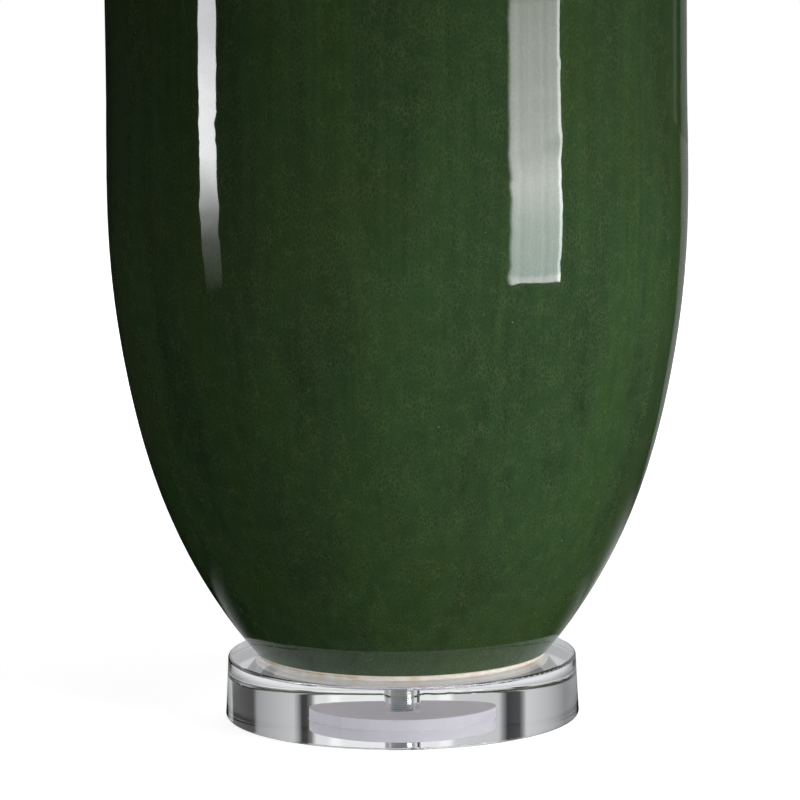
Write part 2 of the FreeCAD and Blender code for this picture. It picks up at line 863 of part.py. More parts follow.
def shade_ring(height):
    """Wire ring bedded in the panel's inner face: round, with a flat where it beds."""
    inner_face = at(shade_radius(height) - shade_wall, height)
    middle = inner_face - at(ring_wire_radius - ring_bed, 0)
    up_panel = at(shade_top_radius - shade_bottom_radius, shade_height).normalize()
    outward = Vector(up_panel.z, 0, -up_panel.x)
    reach = (inner_face - middle).dot(outward)
    half_flat = math.sqrt(ring_wire_radius ** 2 - reach ** 2)
    low = middle + outward * reach - up_panel * half_flat
    inmost = middle - outward * ring_wire_radius
    high = middle + outward * reach + up_panel * half_flat
    return turned((low.x, low.z), ((inmost.x, inmost.z), (high.x, high.z)))


def shade_top_ring():
    """Wire ring in the top hem, to which the spider's arms are welded."""
    return shade_ring(shade_top - ring_inset)


def shade_bottom_ring():
    """Wire ring in the bottom hem."""
    return shade_ring(shade_bottom + ring_inset)


def shade_spider():
    """Washer round the harp's stud, and arms that run level and then up to the top ring."""
    ring_height = shade_top - ring_inset
    ring_radius = shade_radius(ring_height) - shade_wall - ring_wire_radius
    washer_middle = spider_seat + spider_washer_thickness / 2
    washer = tube(spider_washer_radius, stud_radius + hole_ease, spider_seat,
                  spider_washer_thickness)
    ring = Part.makeTorus(ring_radius + ring_bed, ring_wire_radius, at(0, ring_height))
    welded = [washer]
    for arm in range(spider_arm_count):
        turn = math.radians(90 + 360 / spider_arm_count * arm)
        heading = Vector(math.cos(turn), math.sin(turn), 0)
        points = [heading * spider_arm_start + UP * washer_middle,
                  heading * (ring_radius - spider_arm_rise) + UP * washer_middle,
                  heading * ring_radius + UP * ring_height]
        wire = bent_wire(points, (spider_bend,), spider_wire_radius)
        welded += wire.cut(washer).cut(ring).Solids
    return Part.makeCompound(welded)


def hem(edge, inward):
    """Fabric tape folded over one edge of the panel and round its ring."""
    depth = shade_wall + 2 * ring_wire_radius + hem_gap
    outer_end = edge + inward * hem_outer_height
    inner_end = edge + inward * hem_inner_height
    fold = edge - inward * hem_thickness
    return turned(
        (shade_radius(outer_end), outer_end),
        (shade_radius(outer_end) + hem_thickness, outer_end),
        (shade_radius(fold) + hem_thickness, fold),
        (shade_radius(fold) - depth - hem_thickness, fold),
        (shade_radius(inner_end) - depth - hem_thickness, inner_end),
        (shade_radius(inner_end) - depth, inner_end),
        (shade_radius(edge) - depth, edge),
        (shade_radius(edge), edge))


def shade_top_hem():
    """Top hem, slit where the spider's arms pass."""
    return hem(shade_top, -1).cut(shade_spider())


def shade_bottom_hem():
    """Bottom hem."""
    return hem(shade_bottom, 1)


# ---------------------------------------------------------------- finial


def finial():
    """Turned finial: flange on the spider, waist, ball and tip, tapped from beneath."""
    base = finial_seat
    waist = base + finial_base_thickness
    throat = waist + finial_waist_height
    reach = math.sqrt(finial_ball_radius ** 2 - finial_waist_radius ** 2)
    centre = throat + reach
    tip_reach = math.sqrt(finial_ball_radius ** 2 - finial_tip_radius ** 2)
    ball_top = centre + tip_reach
    top = ball_top + finial_tip_height
    bore = stud_radius + finial_fit
    neck = (finial_base_radius - finial_waist_radius) * cove_depth_ratio
    return turned(
        (bore, base),
        (finial_base_radius, base),
        (finial_base_radius, waist),
        ((finial_waist_radius + neck, waist + neck),
         (finial_waist_radius, waist + finial_waist_height / 2)),
        (finial_waist_radius, throat),
        ((finial_ball_radius, centre), (finial_tip_radius, ball_top)),
        (finial_tip_radius, top - finial_tip_radius / 2),
        (finial_tip_radius / 2, top),
        (0, top),
        (0, base + stud_height + finial_fit),
        (bore, base + stud_height + finial_fit))


# ---------------------------------------------------------------- the whole lamp

pieces = {
    "acrylic_foot": acrylic_foot(),
    "foot_washer": foot_washer(),
    "foot_nut": foot_nut(),
    "lamp_pipe": lamp_pipe(),
    "jar": jar(),
    "cord_bushing": cord_bushing(),
    "vase_cap": vase_cap(),
    "neck_stem": neck_stem(),
    "harp_saddle": harp_saddle(),
    "saddle_nut": saddle_nut(),
    "socket_cap": socket_cap(),
    "socket_set_screw": socket_set_screw(),
    "socket_shell": socket_shell(),
    "socket_liner": socket_liner(),
    "socket_block": socket_block(),
    "terminal_screws": terminal_screws(),
    "screw_shell": screw_shell(),
    "centre_contact": centre_contact(),
    "switch_shaft": switch_shaft(),
    "switch_knob": switch_knob(),
    "bulb_glass": bulb_glass(),
    "bulb_cap": bulb_cap(),
    "bulb_insulator": bulb_insulator(),
    "bulb_tip": bulb_tip(),
    "harp_wire": harp_wire(),
    "harp_stud": harp_stud(),
    "harp_sleeve_left": harp_sleeve(-1),
    "harp_sleeve_right": harp_sleeve(1),
    "shade_spider": shade_spider(),
    "shade_top_ring": shade_top_ring(),
    "shade_panel": shade_panel(),
    "shade_bottom_ring": shade_bottom_ring(),
    "shade_top_hem": shade_top_hem(),
    "shade_bottom_hem": shade_bottom_hem(),
    "finial": finial(),
}

os.makedirs("parts", exist_ok=True)
for name, shape in pieces.items():
    shape.exportStep("parts/" + name + ".step")
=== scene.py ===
# Ginger jar table lamp: a tall green crackle-glazed jar on a clear acrylic foot, with a nickel
# neck, a harp, a lampholder and a tapered linen drum shade. Metres, +Z up, front towards -Y.
import bpy
import math
from mathutils import Matrix, Vector


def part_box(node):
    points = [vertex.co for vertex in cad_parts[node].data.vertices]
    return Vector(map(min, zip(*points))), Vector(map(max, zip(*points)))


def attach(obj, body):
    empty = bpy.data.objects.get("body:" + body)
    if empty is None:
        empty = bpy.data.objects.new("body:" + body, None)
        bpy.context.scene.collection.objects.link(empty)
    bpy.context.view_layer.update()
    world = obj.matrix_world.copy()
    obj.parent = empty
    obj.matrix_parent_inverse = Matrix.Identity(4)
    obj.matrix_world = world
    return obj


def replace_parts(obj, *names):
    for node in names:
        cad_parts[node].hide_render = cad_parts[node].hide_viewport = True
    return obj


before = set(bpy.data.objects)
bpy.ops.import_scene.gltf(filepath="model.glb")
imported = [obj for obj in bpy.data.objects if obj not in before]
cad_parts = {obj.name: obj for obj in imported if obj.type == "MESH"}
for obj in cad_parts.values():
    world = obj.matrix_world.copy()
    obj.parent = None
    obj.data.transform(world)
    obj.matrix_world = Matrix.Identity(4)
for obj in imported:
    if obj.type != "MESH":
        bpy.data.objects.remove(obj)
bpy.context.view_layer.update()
mm = 0.001

# ------------------------------------------------------------------------------------------
# Camera. A long lens looks slightly down at the foot and the jar's body, as for a close
# product picture. It is rolled by half a degree, so the lamp leans a little to the left.
# Angles are in degrees, and the lens and the sensor in millimetres.

camera_distance = 1.8
camera_height = 0.3919
camera_aside = 0.0002
camera_pitch = 8.09
camera_roll = 0.55
focal_length = 191.25
sensor_width = 36

camera = bpy.data.objects.new("camera", bpy.data.cameras.new("camera"))
camera.data.lens = focal_length
camera.data.sensor_width = sensor_width
camera.data.clip_end = 100
place = Matrix.Translation((camera_aside, -camera_distance, camera_height))
tilt = Matrix.Rotation(math.radians(90 - camera_pitch), 4, "X")
roll = Matrix.Rotation(math.radians(-camera_roll), 4, "Z")
camera.matrix_world = place @ tilt @ roll
bpy.context.scene.collection.objects.link(camera)
bpy.context.scene.camera = camera
bpy.context.scene.view_settings.view_transform = "Standard"

# ------------------------------------------------------------------------------------------
# Room. The camera sees plain white round the lamp. Glaze and metal mirror a dim room, with a
# pale wall behind the lamp that starts above the table. Acrylic shows a bright room behind it,
# with dark and white flags at both sides.


def colour(code):
    """Linear RGBA of an sRGB hex colour."""
    parts = [int(code[i:i + 2], 16) / 255 for i in (1, 3, 5)]
    return [c / 12.92 if c <= 0.04045 else ((c + 0.055) / 1.055) ** 2.4 for c in parts] + [1.0]


def add(tree, kind, inputs=None, stops=(), **settings):
    """Adds a shader node. An input is a value, or the node or socket that feeds it, and goes by
    its name or number. A MapRange takes its value at 0, the range of that at 1 and 2, and what
    it turns to at 3 and 4. A colour Mix takes its share at 0 and its colours at 6 and 7, and
    gives its colour at output 2. Stops are the (position, hex colour) pairs of a ramp."""
    made = tree.nodes.new("ShaderNode" + kind)
    for name, value in settings.items():
        setattr(made, name, value)
    for name, value in (inputs or {}).items():
        if isinstance(value, bpy.types.Node):
            value = value.outputs[0]
        if isinstance(value, bpy.types.NodeSocket):
            tree.links.new(value, made.inputs[name])
        else:
            made.inputs[name].default_value = value
    for index, (position, code) in enumerate(stops):
        stop = made.color_ramp.elements[index] if index < 2 else made.color_ramp.elements.new(1.0)
        stop.position = position
        stop.color = colour(code)
    return made


def azimuth_of(tree, axes):
    """Angle about the lamp's axis in radians: 0 at the front, a quarter turn at the right."""
    forwards = add(tree, "Math", {0: axes.outputs["Y"], 1: -1.0}, operation="MULTIPLY")
    return add(tree, "Math", {0: axes.outputs["X"], 1: forwards}, operation="ARCTAN2")


def by_azimuth(tree, outward, stops):
    """Colour of the surroundings by the azimuth of a vector, as a share of a turn: 0 and 1 at the
    back, 0.25 at the left, 0.5 at the front and 0.75 at the right."""
    azimuth = azimuth_of(tree, add(tree, "SeparateXYZ", {0: outward}))
    share = add(tree, "MapRange", {0: azimuth, 1: -math.pi, 2: math.pi})
    return add(tree, "ValToRGB", {0: share}, stops=stops)


# The room as gloss mirrors it near the horizon, and the pale wall that stands behind above it.
dim_room = (
    (0.000, "#2c2c2c"), (0.020, "#101010"), (0.060, "#0c0c0c"), (0.200, "#161616"),
    (0.400, "#101010"), (0.600, "#141414"), (0.720, "#242424"), (0.880, "#1a1a1a"),
    (0.889, "#202020"), (0.897, "#767676"), (0.905, "#202020"), (0.913, "#0c0c0c"),
    (0.919, "#161616"), (0.927, "#727272"), (0.985, "#868686"), (1.000, "#3c3c3c"))
pale_wall = (
    (0.000, "#e4e4e4"), (0.110, "#dcdcdc"), (0.180, "#181818"), (0.400, "#101010"),
    (0.600, "#141414"), (0.820, "#282828"), (0.890, "#dcdcdc"), (1.000, "#e4e4e4"))
# The bright room as acrylic shows it, with its dark and white flags.
bright_room = (
    (0.000, "#f2f2f4"), (0.021, "#ececee"), (0.0214, "#ffffff"), (0.0278, "#ffffff"),
    (0.0282, "#d0d0d2"), (0.064, "#c8c8ca"), (0.068, "#303032"), (0.084, "#484849"),
    (0.090, "#d2d2d4"), (0.120, "#bcbcbe"), (0.160, "#8c8c8e"), (0.260, "#c0c0c2"),
    (0.500, "#b0b0b2"), (0.760, "#d6d6d8"), (0.806, "#dcdcde"), (0.813, "#4a4a4b"),
    (0.874, "#3a3838"), (0.880, "#9c9c9e"), (0.928, "#c8c8ca"), (0.932, "#303032"),
    (0.941, "#3a3838"), (0.943, "#e6e6e8"), (0.9545, "#e4e4e6"), (0.955, "#ffffff"),
    (0.9625, "#ffffff"), (0.963, "#eeeef0"), (1.000, "#f2f2f4"))
white = (1.0, 1.0, 1.0, 1.0)
# The plain light that the room gives to matt surfaces.
fill_grey = "#666666"
# Rise of a ray, from 0 when level to 1 straight up, where the pale wall begins and is full.
wall_begins = 0.05
wall_full = 0.12
# A milled face inside the acrylic gathers light from the whole studio, lamps included.
gathered = 2.6

world = bpy.data.worlds.new("studio")
bpy.context.scene.world = world
world.use_nodes = True
room = world.node_tree
room.nodes.clear()
path = add(room, "LightPath")
outward = add(room, "TexCoord").outputs["Generated"]
rise = add(room, "SeparateXYZ", {0: outward}).outputs["Z"]
above = add(room, "MapRange", {0: rise, 1: wall_begins, 2: wall_full})
mirrored = add(room, "Mix", {0: above, 6: by_azimuth(room, outward, dim_room),
                             7: by_azimuth(room, outward, pale_wall)}, data_type="RGBA")
in_gloss = add(room, "Mix", {0: path.outputs["Is Glossy Ray"], 6: colour(fill_grey),
                             7: mirrored.outputs[2]}, data_type="RGBA")
gather = add(room, "MapRange", {0: path.outputs["Diffuse Depth"], 3: 1.0, 4: gathered})
through = add(room, "VectorMath", {0: by_azimuth(room, outward, bright_room), "Scale": gather},
              operation="SCALE")
in_glass = add(room, "Mix", {0: path.outputs["Is Transmission Ray"], 6: in_gloss.outputs[2],
                             7: through}, data_type="RGBA")
seen = add(room, "Mix", {0: path.outputs["Is Camera Ray"], 6: in_glass.outputs[2],
                         7: white}, data_type="RGBA")
add(room, "OutputWorld", {0: add(room, "Background", {0: seen.outputs[2]})})

# ------------------------------------------------------------------------------------------
# Lamps. Softboxes overhead, at the right and behind give a plain soft light, and a small narrow
# one lifts the shade. Only the overhead one shows in gloss. Two tall bright strips at the front
# stand for the rest: the glaze and the metal mirror them, and they light nothing matt.


def area_light(name, location, target, size, radiance, **shown):
    """Rectangular soft light of a radiance, where white is 1, aimed at a point."""
    made = bpy.data.objects.new(name, bpy.data.lights.new(name, "AREA"))
    made.data.shape = "RECTANGLE"
    made.data.size, made.data.size_y = size
    made.data.energy = radiance * size[0] * size[1] * math.pi
    made.location = location
    made.rotation_euler = (Vector(target) - Vector(location)).to_track_quat("-Z", "Y").to_euler()
    bpy.context.scene.collection.objects.link(made)
    made.visible_camera = False
    for kind, value in shown.items():
        setattr(made, "visible_" + kind, value)
    return made


area_light("overhead_softbox", location=(0.35, -0.35, 1.9), target=(0, 0, 0.3),
           size=(1.1, 1.1), radiance=1.0)
area_light("key_softbox", location=(1.34, -1.12, 0.42), target=(0, 0, 0.2),
           size=(0.9, 1.0), radiance=6.8, glossy=False)
area_light("rear_softbox", location=(0.45, 1.75, 0.9), target=(0, 0, 0.4),
           size=(1.1, 1.1), radiance=2.6, glossy=False, transmission=False)
shade_softbox = area_light("shade_softbox", location=(-0.50, -1.05, 0.84), target=(0, 0, 0.70),
                           size=(0.3, 0.3), radiance=0.32, glossy=False, transmission=False)
shade_softbox.data.spread = math.radians(32)


def reflection_card(name, azimuth, distance, width, bottom, top, radiance, build):
    """Upright glowing card that shows in gloss alone."""
    turn = math.radians(azimuth)
    outward = Vector((math.sin(turn), -math.cos(turn), 0))
    across = Vector((math.cos(turn), math.sin(turn), 0))
    mesh = bpy.data.meshes.new(name)
    corners = [(-width / 2, bottom), (width / 2, bottom), (width / 2, top), (-width / 2, top)]
    mesh.from_pydata([outward * distance + across * x + Vector((0, 0, z)) for x, z in corners],
                     [], [(0, 1, 2, 3)])
    layer = mesh.uv_layers.new(name="card")
    for corner, uv in zip(layer.data, ((0, 0), (1, 0), (1, 1), (0, 1))):
        corner.uv = uv
    made = bpy.data.objects.new(name, mesh)
    bpy.context.scene.collection.objects.link(made)
    glow = bpy.data.materials.new(name)
    glow.use_nodes = True
    tree = glow.node_tree
    tree.nodes.clear()
    place = add(tree, "SeparateXYZ", {0: add(tree, "TexCoord").outputs["UV"]})
    shown = build(tree, place.outputs["X"], place.outputs["Y"])
    add(tree, "OutputMaterial", {0: add(tree, "Emission", {0: shown, 1: radiance})})
    mesh.materials.append(glow)
    for ray in ("camera", "diffuse", "transmission", "shadow"):
        setattr(made, "visible_" + ray, False)


def strip_with_soft_edge(tree, across, up):
    """Soft at the side next to the camera, brighter low down, with a bright line at the far
    side; faint upright folds show in it. Across and up run from 0 to 1 over the card."""
    soft_side = 0.10
    line_begins, line_full = 0.93, 0.965
    folds_across = 9.0
    rise = add(tree, "MapRange", {0: across, 1: 0.0, 2: soft_side},
               interpolation_type="SMOOTHSTEP")
    line = add(tree, "MapRange", {0: across, 1: line_begins, 2: line_full, 3: 0.80, 4: 1.5})
    tone = add(tree, "ValToRGB", {0: up}, stops=(
        (0.000, "#ffffff"), (0.007, "#ffffff"), (0.011, "#d2dcdb"), (0.055, "#dce5e4"),
        (0.095, "#ffffff"), (0.130, "#d8d8d5"), (0.200, "#b4b4b0")))
    folds = add(tree, "TexNoise", {"Vector": add(tree, "CombineXYZ", {0: across, 1: 0.0}),
                                   "Scale": folds_across, "Detail": 2.0})
    creased = add(tree, "MapRange", {0: folds, 1: 0.3, 2: 0.7, 3: 0.84, 4: 1.12})
    level = add(tree, "Math", {0: rise, 1: line}, operation="MULTIPLY")
    level = add(tree, "Math", {0: level, 1: creased}, operation="MULTIPLY")
    return add(tree, "VectorMath", {0: tone, "Scale": level}, operation="SCALE")


def strip_that_fades_low(tree, across, up):
    """Crisp at both sides, fading out towards the table, and brightest in a band above that."""
    return add(tree, "ValToRGB", {0: up}, stops=(
        (0.035, "#000000"), (0.085, "#4a4a4a"), (0.108, "#808081"), (0.150, "#fcfcff"),
        (0.165, "#fcfcff"), (0.190, "#dcdcdf"), (1.000, "#dcdcdf")))


reflection_card("right_strip", azimuth=49.7, distance=0.62, width=0.23, bottom=0.084, top=1.3,
                radiance=12.8, build=strip_with_soft_edge)
reflection_card("left_strip", azimuth=-71.4, distance=0.62, width=0.090, bottom=0.03, top=1.3,
                radiance=16.0, build=strip_that_fades_low)

# ------------------------------------------------------------------------------------------
# Table. White matt paper that takes the lamp's shadow and runs out to plain white. What gloss
# mirrors in it is dim but for a pool of painted light behind the lamp, and what acrylic shows is
# bright but for a painted shadow under the foot. The paper lies a hair below the foot, so that
# their faces don't meet.

table_reach = 3.0
air_gap = 0.3 * mm
# Distances from the lamp between which the paper runs out to white.
white_begins, white_full = 0.20, 1.3
# The far end of the table as gloss mirrors it, and where that fades out towards the lamp.
far_table = (
    (0.000, "#161616"), (0.020, "#0c0c0c"), (0.200, "#161616"), (0.400, "#101010"),
    (0.600, "#141414"), (0.720, "#242424"), (0.880, "#1c1c1c"), (0.900, "#121212"),
    (0.906, "#1c1c1c"), (0.915, "#868686"), (0.985, "#929292"), (1.000, "#1c1c1c"))
far_begins, far_full = 0.40, 0.55
# Painted light on the table behind the lamp, which only gloss mirrors: a pool at the right, and
# a glow close to the foot.
pool_place = (0.10, 0.23, 0.0)
pool_radius = 0.18
glow_full, glow_ends = 0.15, 0.18
behind_begins, behind_full = 0.03, 0.09
# Acrylic shows the paper under the foot as plain grey, which is painted shadow, and the bright
# room beyond it.
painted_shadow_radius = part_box("acrylic_foot")[1].x + 2 * mm
painted_shadow_edge = 6 * mm

floor_mesh = bpy.data.meshes.new("table")
corners = [(-1, -1), (1, -1), (1, 1), (-1, 1)]
floor_mesh.from_pydata([(x * table_reach, y * table_reach, -air_gap) for x, y in corners], [],
                       [(0, 1, 2, 3)])
floor = bpy.data.objects.new("table", floor_mesh)
bpy.context.scene.collection.objects.link(floor)
white_paper = bpy.data.materials.new("white_paper")
white_paper.use_nodes = True
tree = white_paper.node_tree
tree.nodes.clear()
paper = add(tree, "BsdfDiffuse", {0: colour("#e6e6e6")})
on_table = add(tree, "TexCoord").outputs["Object"]
away = add(tree, "VectorMath", {0: on_table}, operation="LENGTH").outputs["Value"]
run_out = add(tree, "MapRange", {0: away, 1: white_begins, 2: white_full, 3: 0.80, 4: 1.0})
rays = add(tree, "LightPath")
plain = add(tree, "Emission", {0: white, 1: add(tree, "Math", {
    0: rays.outputs["Is Camera Ray"], 1: run_out}, operation="MULTIPLY")})
lit = add(tree, "AddShader", {0: paper, 1: plain})
# Painted light: a pool and a glow that the table gives off for gloss alone.
from_pool = add(tree, "VectorMath", {0: on_table, 1: pool_place}, operation="DISTANCE")
pool = add(tree, "MapRange", {0: from_pool.outputs["Value"], 1: 0.0, 2: pool_radius,
                              3: 0.5, 4: 0.0}, interpolation_type="SMOOTHSTEP")
glow = add(tree, "MapRange", {0: away, 1: glow_full, 2: glow_ends, 3: 0.28, 4: 0.0})
behind = add(tree, "MapRange", {0: add(tree, "SeparateXYZ", {0: on_table}).outputs["Y"],
                                1: behind_begins, 2: behind_full})
painted_glow_behind = add(tree, "Math", {0: glow, 1: behind}, operation="MULTIPLY")
painted_light_near = add(tree, "Math", {0: pool, 1: painted_glow_behind}, operation="MAXIMUM")
far = add(tree, "MapRange", {0: away, 1: far_begins, 2: far_full, 3: 0.1, 4: 1.0})
mirrored = add(tree, "AddShader", {
    0: add(tree, "Emission", {0: white, 1: painted_light_near}),
    1: add(tree, "Emission", {0: by_azimuth(tree, on_table, far_table), 1: far})})
in_gloss = add(tree, "MixShader", {0: rays.outputs["Is Glossy Ray"], 1: lit, 2: mirrored})
beyond_painted_shadow = add(tree, "MapRange", {0: away, 1: painted_shadow_radius, 2: painted_shadow_radius + painted_shadow_edge})
# Painted shadow: the paper under the foot is grey where acrylic shows it.
shadowed_paper_or_room = add(tree, "Mix", {0: beyond_painted_shadow, 6: colour("#a6a6aa"),
                                  7: by_azimuth(tree, on_table, bright_room)}, data_type="RGBA")
gather = add(tree, "MapRange", {0: rays.outputs["Diffuse Depth"], 3: 1.0, 4: gathered})
surface = add(tree, "MixShader", {
    0: rays.outputs["Is Transmission Ray"], 1: in_gloss,
    2: add(tree, "Emission", {0: shadowed_paper_or_room.outputs[2], 1: gather})})
add(tree, "OutputMaterial", {0: surface})
floor_mesh.materials.append(white_paper)

# ------------------------------------------------------------------------------------------
# Foot: a thick disc of clear cast acrylic (PMMA), turned, drilled and flame-polished. The recess
# for the nut is only milled, so its faces are frosted. The jar's bare foot ring stands on it.

recess_radius = 26.8 * mm
recess_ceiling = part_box("foot_washer")[1].z
milled_skin = 0.2 * mm


def shader(name, **constants):
    """A material with one Principled shader, and what is the same all over its surface."""
    made = bpy.data.materials.new(name)
    made.use_nodes = True
    finish = made.node_tree.nodes["Principled BSDF"]
    for word, value in constants.items():
        socket_of(finish, word).default_value = value
    return made, made.node_tree, finish


def socket_of(finish, word):
    """Socket of a Principled shader, by its name in small letters with underscores."""
    return finish.inputs[word.replace("_", " ").title().replace("Ior", "IOR")]


def vary(finish, **patterns):
    """Feeds sockets of a Principled shader with the nodes or sockets that vary them."""
    for word, pattern in patterns.items():
        if isinstance(pattern, bpy.types.Node):
            pattern = pattern.outputs[0]
        finish.id_data.links.new(pattern, socket_of(finish, word))


def coat(material, *nodes):
    """Gives CAD nodes a material."""
    for name in nodes:
        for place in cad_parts[name].material_slots:
            place.material = material


def radius_of(tree, axes):
    """Distance from the lamp's axis."""
    level = add(tree, "CombineXYZ", {0: axes.outputs["X"], 1: axes.outputs["Y"]})
    return add(tree, "VectorMath", {0: level}, operation="LENGTH").outputs["Value"]


# Polished cast acrylic: water-clear, with sharp bright and dark bands, and a milky milled recess.
cast_acrylic, tree, finish = shader("polished_cast_acrylic", base_color=colour("#fafcfb"),
                                    roughness=0.0, ior=1.49, transmission_weight=1.0)
axes = add(tree, "SeparateXYZ", {0: add(tree, "TexCoord").outputs["Object"]})
within = add(tree, "Math", {0: radius_of(tree, axes), 1: recess_radius + milled_skin},
             operation="LESS_THAN")
low = add(tree, "Math", {0: axes.outputs["Z"], 1: recess_ceiling + milled_skin},
          operation="LESS_THAN")
milled = add(tree, "Math", {0: within, 1: low}, operation="MULTIPLY")
vary(finish, roughness=add(tree, "MapRange", {0: milled, 3: 0.0, 4: 0.8}),
     transmission_weight=add(tree, "MapRange", {0: milled, 3: 1.0, 4: 0.2}),
     base_color=add(tree, "Mix", {0: milled, 6: colour("#fafcfb"), 7: colour("#ece8f4")},
                    data_type="RGBA").outputs[2])
coat(cast_acrylic, "acrylic_foot")

# ------------------------------------------------------------------------------------------
# Pipe, nut and washer: mild steel with bright zinc plate. The pipe's end is threaded, and the nut
# and a stamped washer draw the whole lamp down on the foot. Both show through the acrylic.

pipe_low, pipe_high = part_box("lamp_pipe")
pipe_radius = pipe_high.x
thread_pitch = 0.94 * mm
thread_height = 0.18 * mm
thread_root = 0.10 * mm
thread_flank = 0.4 * thread_pitch
thread_sides = 32
thread_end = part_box("acrylic_foot")[1].z + 4 * mm
plate_patch = 6 * mm


def at(radius, turn, level):
    """Point at a distance from the lamp's axis, an angle about it and a height."""
    return radius * math.cos(turn), radius * math.sin(turn), level


def piece(name, verts, faces, material, body, smooth=True):
    """A mesh of the lamp's own, with its material and body."""
    mesh = bpy.data.meshes.new(name)
    mesh.from_pydata(verts, [], faces)
    mesh.materials.append(material)
    mesh.polygons.foreach_set("use_smooth", [smooth] * len(faces))
    made = bpy.data.objects.new(name, mesh)
    bpy.context.scene.collection.objects.link(made)
    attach(made, body)
    return made


def rolled_thread(name, radius, bottom, top, material, body):
    """Ridge that winds up a rod: a three-sided bar with closed ends, sunk a little at its root."""
    steps = int((top - bottom) / thread_pitch * thread_sides)
    verts = []
    for step in range(steps + 1):
        turn = 2 * math.pi * step / thread_sides
        level = bottom + thread_pitch * step / thread_sides
        for out, up in ((-thread_root, -thread_flank), (thread_height, 0.0),
                        (-thread_root, thread_flank)):
            verts.append(at(radius + out, turn, level + up))
    faces = []
    for step in range(steps):
        for side in range(3):
            first = 3 * step + side
            second = 3 * step + (side + 1) % 3
            faces.append((first, second, second + 3, first + 3))
    faces += [(2, 1, 0), (3 * steps, 3 * steps + 1, 3 * steps + 2)]
    return piece(name, verts, faces, material, body, smooth=False)


# Bright zinc plate: silvery, faintly blue and yellow in patches, with a slightly uneven gloss.
zinc_plate, tree, finish = shader("bright_zinc_plate", metallic=1.0)
patches = add(tree, "TexNoise", {"Vector": add(tree, "TexCoord").outputs["Object"],
                                 "Scale": 1 / plate_patch, "Detail": 2.0})
vary(finish, base_color=add(tree, "ValToRGB", {0: patches}, stops=(
    (0.35, "#bfc6cc"), (0.65, "#cfccc2"))),
    roughness=add(tree, "MapRange", {0: patches, 1: 0.3, 2: 0.7, 3: 0.14, 4: 0.26}))
coat(zinc_plate, "lamp_pipe", "foot_nut")
rolled_thread("pipe_thread", pipe_radius, pipe_low.z + thread_pitch, thread_end,
              zinc_plate, "root")

washer_sides = 96
washer_play = 0.05 * mm
washer_clearance = 0.3 * mm
washer_round = 0.25 * mm
round_steps = 3


def turned_faces(sides, count):
    """Faces of a closed outline of so many points that is turned about the lamp's axis."""
    return [(side * count + step, (side + 1) % sides * count + step,
             (side + 1) % sides * count + (step + 1) % count, side * count + (step + 1) % count)
            for side in range(sides) for step in range(count)]


def stamped_washer():
    """Washer with edges rounded by the stamping, a hair below the recess's ceiling."""
    low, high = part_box("foot_washer")
    inner = pipe_radius + washer_clearance + washer_round
    outer = high.x - washer_round
    bottom = low.z + washer_round
    top = high.z - washer_play - washer_round
    outline = []
    for corner, (middle, level) in enumerate((
            (outer, top), (inner, top), (inner, bottom), (outer, bottom))):
        for step in range(round_steps + 1):
            bend = (corner + step / round_steps) * math.pi / 2
            outline.append((middle + washer_round * math.cos(bend),
                            level + washer_round * math.sin(bend)))
    verts = [at(reach, 2 * math.pi * side / washer_sides, level)
             for side in range(washer_sides) for reach, level in outline]
    return piece("stamped_washer", verts, turned_faces(washer_sides, len(outline)), zinc_plate,
                 "root")


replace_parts(stamped_washer(), "foot_washer")

# ------------------------------------------------------------------------------------------
# Jar: slip-cast stoneware under a thick glossy green glaze that crazed as it cooled. The glaze
# stops at the bare foot ring. Streaks run down it, and hairline cracks cover it all over.

foot_ring_height = 2.4 * mm
glaze_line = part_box("jar")[0].z + foot_ring_height
streak_width = 24 * mm
run_width = 3.0 * mm
cloud_width = 111.1 * mm
crack_cell = 1.2 * mm
crack_width = 0.156 * mm
wander_width = 7 * mm
wander_reach = 2.4 * mm
pinhole_spacing = 14 * mm
pinhole_radius = 0.308 * mm
clay_grain = 5 * mm
throwing_width = 45.45 * mm
throwing_depth = 0.9 * mm
# Heights between which painted shade darkens the glaze towards the shoulder.
darkens_from, darkens_to = 0.19, 0.30

# Crackle glaze: a clear, wet gloss over deep green. The colour pools in soft upright streaks of
# bluish green, leaf green and olive. Towards the shoulder it is darkened a little, which is
# painted shade. The crazing is a net of fine paler olive lines.
crackle_glaze, tree, finish = shader("crackle_glaze", ior=1.52)
spot = add(tree, "TexCoord").outputs["Object"]
drawn_down = add(tree, "VectorMath", {0: spot, 1: (1.0, 1.0, 0.10)}, operation="MULTIPLY")
streaks = add(tree, "TexNoise", {"Vector": drawn_down, "Scale": 1 / streak_width, "Detail": 3.0,
                                 "Roughness": 0.55})
green = add(tree, "ValToRGB", {0: streaks}, stops=(
    (0.28, "#2d4429"), (0.42, "#364f31"), (0.55, "#3a5632"), (0.66, "#39532b"),
    (0.80, "#31553a")))
runs = add(tree, "TexNoise", {
    "Vector": add(tree, "VectorMath", {0: spot, 1: (1.0, 1.0, 0.03)}, operation="MULTIPLY"),
    "Scale": 1 / run_width, "Detail": 2.0})
run_level = add(tree, "MapRange", {0: runs, 1: 0.3, 2: 0.7, 3: 0.90, 4: 1.10})
thinned = add(tree, "VectorMath", {0: green, "Scale": run_level}, operation="SCALE")
clouds = add(tree, "TexNoise", {"Vector": spot, "Scale": 1 / cloud_width, "Detail": 2.0})
olive = add(tree, "Mix", {0: add(tree, "MapRange", {0: clouds, 1: 0.5, 2: 0.72, 3: 0.0, 4: 0.4}),
                          6: thinned, 7: colour("#3f4d28")}, data_type="RGBA")
wander = add(tree, "TexNoise", {"Vector": spot, "Scale": 1 / wander_width, "Detail": 2.0})
bent = add(tree, "VectorMath", {0: add(tree, "VectorMath", {
    0: wander.outputs["Color"], "Scale": wander_reach}, operation="SCALE"), 1: spot},
    operation="ADD")
